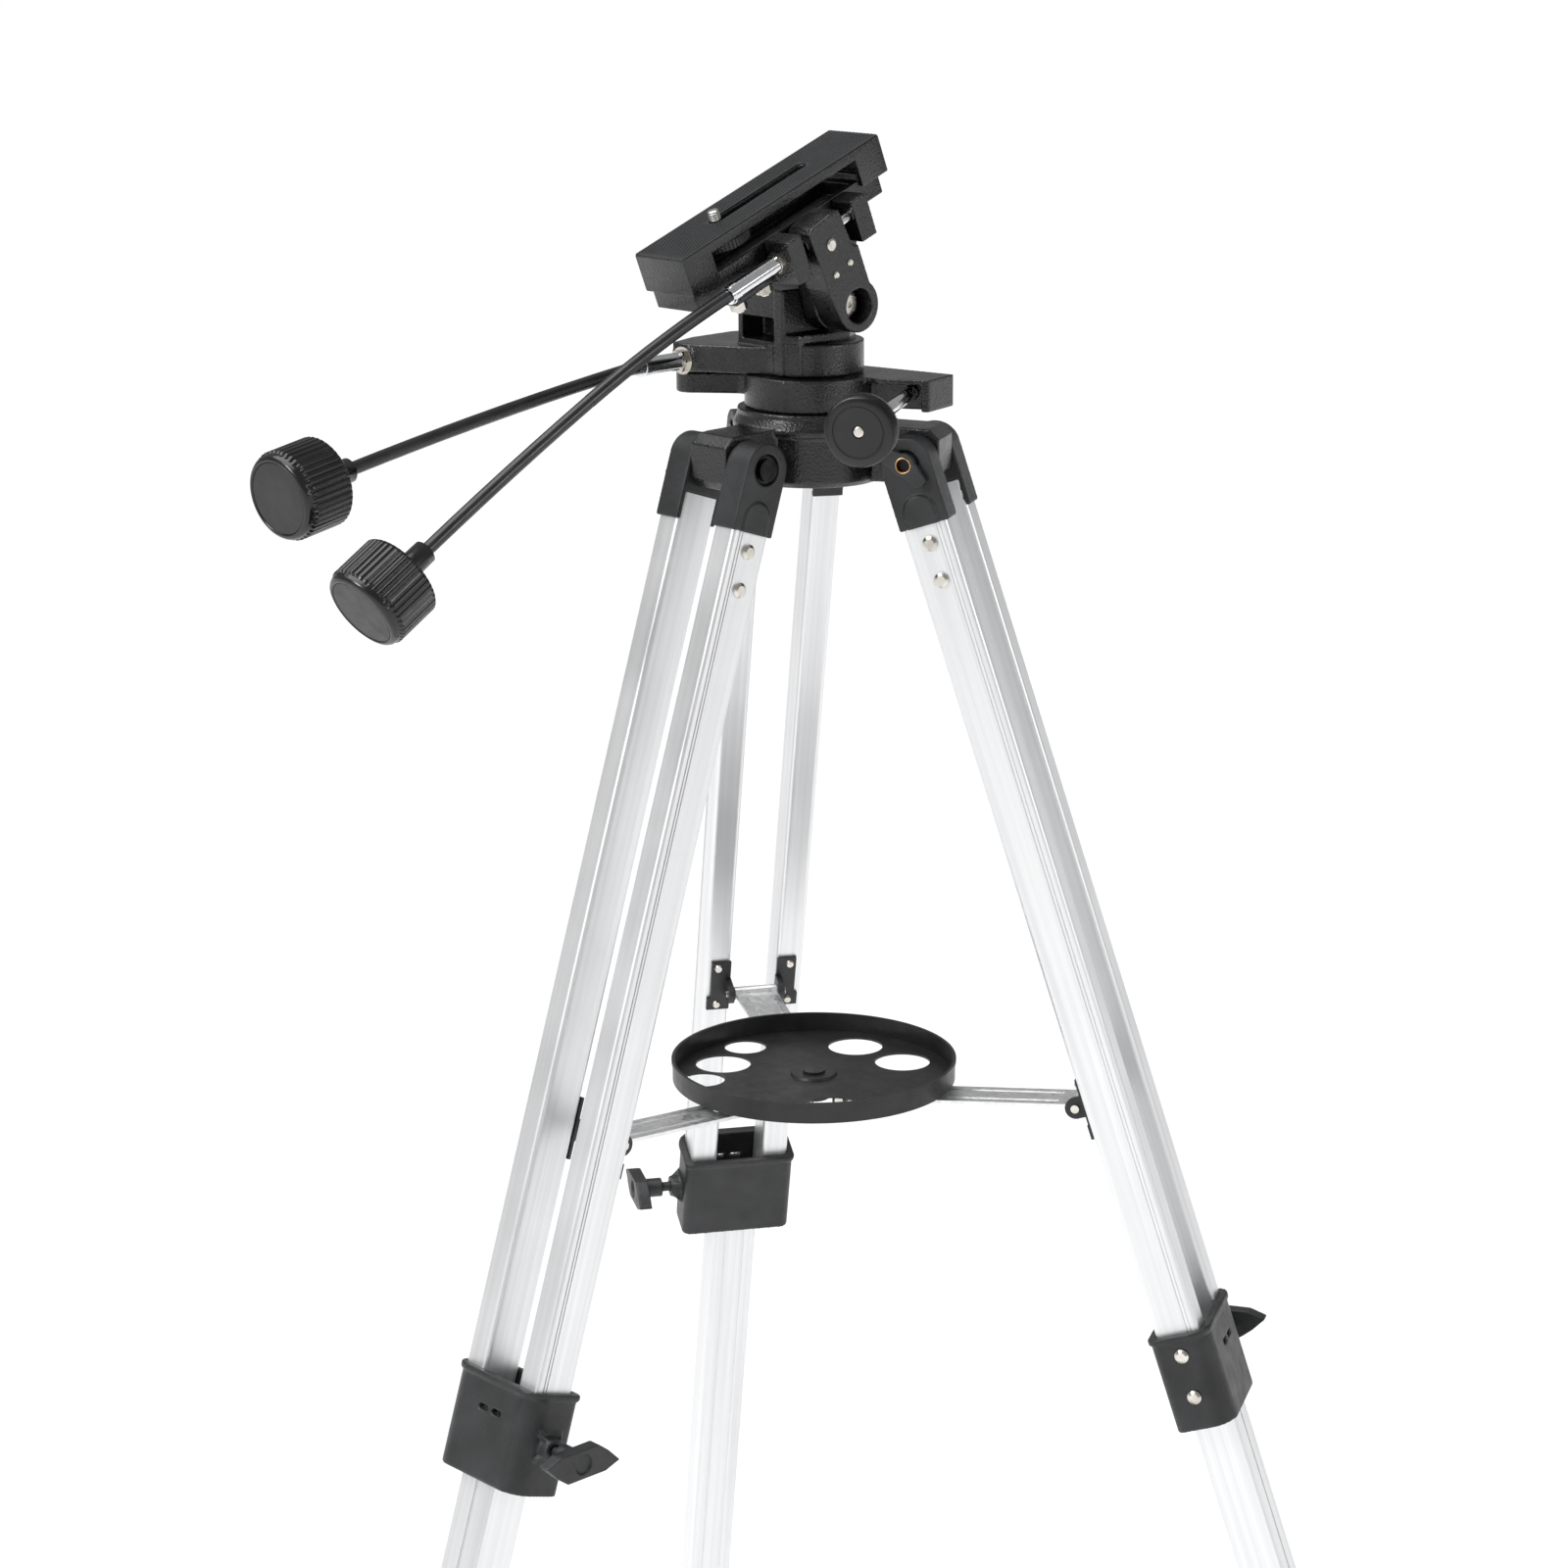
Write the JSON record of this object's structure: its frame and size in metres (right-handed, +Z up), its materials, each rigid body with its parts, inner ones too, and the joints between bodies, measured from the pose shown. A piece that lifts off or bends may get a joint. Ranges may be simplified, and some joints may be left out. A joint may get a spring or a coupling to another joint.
{
  "type": "alt azimuth mount",
  "caption": "Alt-azimuth telescope mount with slow-motion cables, saddle and camera screw, on an extending twin-rail tripod with an eyepiece tray.",
  "frame": {"origin": "on the azimuth axis at floor level, in the middle of the three feet", "axes": "+Z up along the azimuth axis, +Y the way the raised end of the saddle points, +X towards the side with the tall altitude arm"},
  "size_m": [0.746, 0.6479, 1.2322],
  "materials": {
    "black_casting": "hammered black paint, semi-gloss",
    "chrome": "polished",
    "nickel_steel": "nickel-plated",
    "blackened_steel": "black oxide",
    "slip_washer": "smooth",
    "gloss_knob": "gloss with satin cap",
    "cable_sheath": "semi-gloss",
    "rubber_pad": "dimpled",
    "camera_screw_steel": "turned",
    "anodised_aluminium": "satin anodised",
    "black_plastic": "fine grained",
    "rubber_foot": "matte",
    "zinc_plate": "bright zinc plate",
    "tray_paint": "satin black"
  },
  "bodies": {
    "base": {"base_casting": "black_casting", "azimuth_bolt": "nickel_steel", "thrust_washers": "slip_washer", "hinge_bolts": "blackened_steel"},
    "clamp_ring": {"clamp_ring": "black_casting"},
    "azimuth_lock": {"azimuth_lock_screw": "chrome", "azimuth_lock_knob": "gloss_knob"},
    "turret": {"turret": "black_casting", "altitude_axle": "nickel_steel", "azimuth_bushings": "nickel_steel", "azimuth_cable": "cable_sheath"},
    "azimuth_screw": {"azimuth_screw": "chrome"},
    "azimuth_knob": {"azimuth_knob": "gloss_knob"},
    "altitude_arm": {"altitude_arm": "black_casting", "arm_screws": "nickel_steel"},
    "carriage": {"carriage": "black_casting", "altitude_bushings": "nickel_steel", "altitude_cable": "cable_sheath", "saddle_bed": "black_casting", "saddle_shell": "black_casting", "saddle_pad": "rubber_pad", "saddle_bolts": "nickel_steel"},
    "altitude_screw": {"altitude_screw": "chrome"},
    "altitude_knob": {"altitude_knob": "gloss_knob"},
    "camera_slide": {"camera_screw_clip": "nickel_steel"},
    "camera_screw": {"camera_screw": "camera_screw_steel"},
    "spreader_hub": {"spreader_hub": "black_plastic", "hub_pins": "nickel_steel", "tray": "tray_paint", "tray_cap": "tray_paint"},
    "leg_a": {"rails_a": "anodised_aluminium", "hinge_caps_a": "black_plastic", "clamp_a": "black_plastic", "leg_fasteners_a": "nickel_steel", "spreader_brackets_a": "black_plastic"},
    "lower_leg_a": {"lower_leg_a": "anodised_aluminium", "foot_a": "rubber_foot"},
    "wing_nut_a": {"wing_nut_a": "black_plastic"},
    "clamp_screw_a": {"clamp_screw_a": "black_plastic"},
    "bar_a": {"spreader_bar_a": "zinc_plate"},
    "leg_b": {"rails_b": "anodised_aluminium", "hinge_caps_b": "black_plastic", "clamp_b": "black_plastic", "leg_fasteners_b": "nickel_steel", "spreader_brackets_b": "black_plastic"},
    "lower_leg_b": {"lower_leg_b": "anodised_aluminium", "foot_b": "rubber_foot"},
    "wing_nut_b": {"wing_nut_b": "black_plastic"},
    "clamp_screw_b": {"clamp_screw_b": "black_plastic"},
    "bar_b": {"spreader_bar_b": "zinc_plate"},
    "leg_c": {"rails_c": "anodised_aluminium", "hinge_caps_c": "black_plastic", "clamp_c": "black_plastic", "leg_fasteners_c": "nickel_steel", "spreader_brackets_c": "black_plastic"},
    "lower_leg_c": {"lower_leg_c": "anodised_aluminium", "foot_c": "rubber_foot"},
    "wing_nut_c": {"wing_nut_c": "black_plastic"},
    "clamp_screw_c": {"clamp_screw_c": "black_plastic"},
    "bar_c": {"spreader_bar_c": "zinc_plate"}
  },
  "joints": [
    {"name": "azimuth_turn", "type": "hinge", "parent": "base", "child": "clamp_ring", "pos_m": [0, 0, 1.06], "axis": [0, 0, 1], "continuous": true},
    {"name": "azimuth_lock_turn", "type": "hinge", "parent": "clamp_ring", "child": "azimuth_lock", "pos_m": [0.0578, 0.0181, 1.095], "axis": [0.4947, -0.8672, -0.0567], "range_deg": [0, 270]},
    {"name": "azimuth_fine", "type": "hinge", "parent": "clamp_ring", "child": "turret", "pos_m": [0, 0, 1.06], "axis": [0, 0, 1], "range_deg": [-8, 8]},
    {"name": "azimuth_knob_turn", "type": "hinge", "parent": "turret", "child": "azimuth_knob", "pos_m": [-0.02873, -0.29315, 1.08105], "axis": [0.0859, -0.9817, -0.1702], "range_deg": [-1816, 1816]},
    {"name": "azimuth_screw_turn", "type": "hinge", "parent": "turret", "child": "azimuth_screw", "pos_m": [-0.05, -0.05, 1.1095], "axis": [0.0872, -0.9962, 0], "range_deg": [-1820, 1820]},
    {"name": "altitude_swing", "type": "hinge", "parent": "turret", "child": "altitude_arm", "pos_m": [0, 0, 1.143], "axis": [1, 0, 0], "range_deg": [-50, 30]},
    {"name": "altitude_fine", "type": "hinge", "parent": "altitude_arm", "child": "carriage", "pos_m": [0, 0, 1.143], "axis": [1, 0, 0], "range_deg": [-3, 10]},
    {"name": "altitude_knob_turn", "type": "hinge", "parent": "carriage", "child": "altitude_knob", "pos_m": [0.027, -0.28857, 1.04678], "axis": [0, -0.849, -0.5284], "range_deg": [-537, 1792]},
    {"name": "altitude_screw_turn", "type": "hinge", "parent": "carriage", "child": "altitude_screw", "pos_m": [0.027, -0.01582, 1.18277], "axis": [0, -0.9291, -0.3697], "range_deg": [-540, 1800]},
    {"name": "camera_screw_slide", "type": "slide", "parent": "carriage", "child": "camera_slide", "axis": [0, 0.9291, 0.3697], "range_m": [0, 0.0655]},
    {"name": "camera_screw_turn", "type": "hinge", "parent": "camera_slide", "child": "camera_screw", "pos_m": [0, -0.06539, 1.18155], "axis": [0, -0.3697, 0.9291], "continuous": true},
    {"name": "leg_a_fold", "type": "hinge", "parent": "base", "child": "leg_a", "pos_m": [0, -0.0624, 1.06], "axis": [1, 0, 0], "range_deg": [0, 9.5]},
    {"name": "leg_b_fold", "type": "hinge", "parent": "base", "child": "leg_b", "pos_m": [0.05404, 0.0312, 1.06], "axis": [-0.5, 0.866, 0], "range_deg": [0, 9.51]},
    {"name": "leg_c_fold", "type": "hinge", "parent": "base", "child": "leg_c", "pos_m": [-0.05404, 0.0312, 1.06], "axis": [-0.5, -0.866, 0], "range_deg": [0, 9.51]},
    {"name": "leg_a_slide", "type": "slide", "parent": "leg_a", "child": "lower_leg_a", "axis": [0, -0.3115, -0.9502], "range_m": [-0.47, 0]},
    {"name": "leg_b_slide", "type": "slide", "parent": "leg_b", "child": "lower_leg_b", "axis": [0.2698, 0.1558, -0.9502], "range_m": [-0.47, 0]},
    {"name": "leg_c_slide", "type": "slide", "parent": "leg_c", "child": "lower_leg_c", "axis": [-0.2698, 0.1558, -0.9502], "range_m": [-0.47, 0]},
    {"name": "wing_nut_a_turn", "type": "hinge", "parent": "base", "child": "wing_nut_a", "pos_m": [0, -0.0624, 1.06], "axis": [-1, 0, 0], "range_deg": [0, 360]},
    {"name": "wing_nut_b_turn", "type": "hinge", "parent": "base", "child": "wing_nut_b", "pos_m": [0.05404, 0.0312, 1.06], "axis": [0.5, -0.866, 0], "range_deg": [0, 360]},
    {"name": "wing_nut_c_turn", "type": "hinge", "parent": "base", "child": "wing_nut_c", "pos_m": [-0.05404, 0.0312, 1.06], "axis": [0.5, 0.866, 0], "range_deg": [0, 360]},
    {"name": "clamp_screw_a_turn", "type": "hinge", "parent": "leg_a", "child": "clamp_screw_a", "pos_m": [0.04, -0.23061, 0.54687], "axis": [1, 0, 0], "range_deg": [0, 360]},
    {"name": "clamp_screw_b_turn", "type": "hinge", "parent": "leg_b", "child": "clamp_screw_b", "pos_m": [0.17972, 0.14995, 0.54687], "axis": [-0.5, 0.866, 0], "range_deg": [0, 360]},
    {"name": "clamp_screw_c_turn", "type": "hinge", "parent": "leg_c", "child": "clamp_screw_c", "pos_m": [-0.21972, 0.08067, 0.54687], "axis": [-0.5, -0.866, 0], "range_deg": [0, 360]},
    {"name": "hub_lift", "type": "slide", "parent": "base", "child": "spreader_hub", "axis": [0, 0, 1], "range_m": [0, 0.11419]},
    {"name": "bar_a_swing", "type": "hinge", "parent": "spreader_hub", "child": "bar_a", "pos_m": [0, -0.02, 0.6875], "axis": [1, 0, 0], "range_deg": [0, 60.13]},
    {"name": "bar_b_swing", "type": "hinge", "parent": "spreader_hub", "child": "bar_b", "pos_m": [0.01732, 0.01, 0.6875], "axis": [-0.5, 0.866, 0], "range_deg": [0, 60.13]},
    {"name": "bar_c_swing", "type": "hinge", "parent": "spreader_hub", "child": "bar_c", "pos_m": [-0.01732, 0.01, 0.6875], "axis": [-0.5, -0.866, 0], "range_deg": [0, 60.13]}
  ],
  "couplings": [
    {"joint": "azimuth_fine", "follows": "azimuth_knob_turn", "ratio": 0.004405},
    {"joint": "azimuth_screw_turn", "follows": "azimuth_knob_turn", "ratio": 1},
    {"joint": "altitude_fine", "follows": "altitude_knob_turn", "ratio": 0.005578},
    {"joint": "altitude_screw_turn", "follows": "altitude_knob_turn", "ratio": 1},
    {"joint": "leg_b_fold", "follows": "leg_a_fold", "ratio": 1},
    {"joint": "leg_c_fold", "follows": "leg_a_fold", "ratio": 1},
    {"joint": "hub_lift", "follows": "leg_a_fold", "m_per_rad": 0.6857},
    {"joint": "bar_a_swing", "follows": "leg_a_fold", "ratio": 6.3244},
    {"joint": "bar_b_swing", "follows": "leg_a_fold", "ratio": 6.3244},
    {"joint": "bar_c_swing", "follows": "leg_a_fold", "ratio": 6.3244}
  ]
}
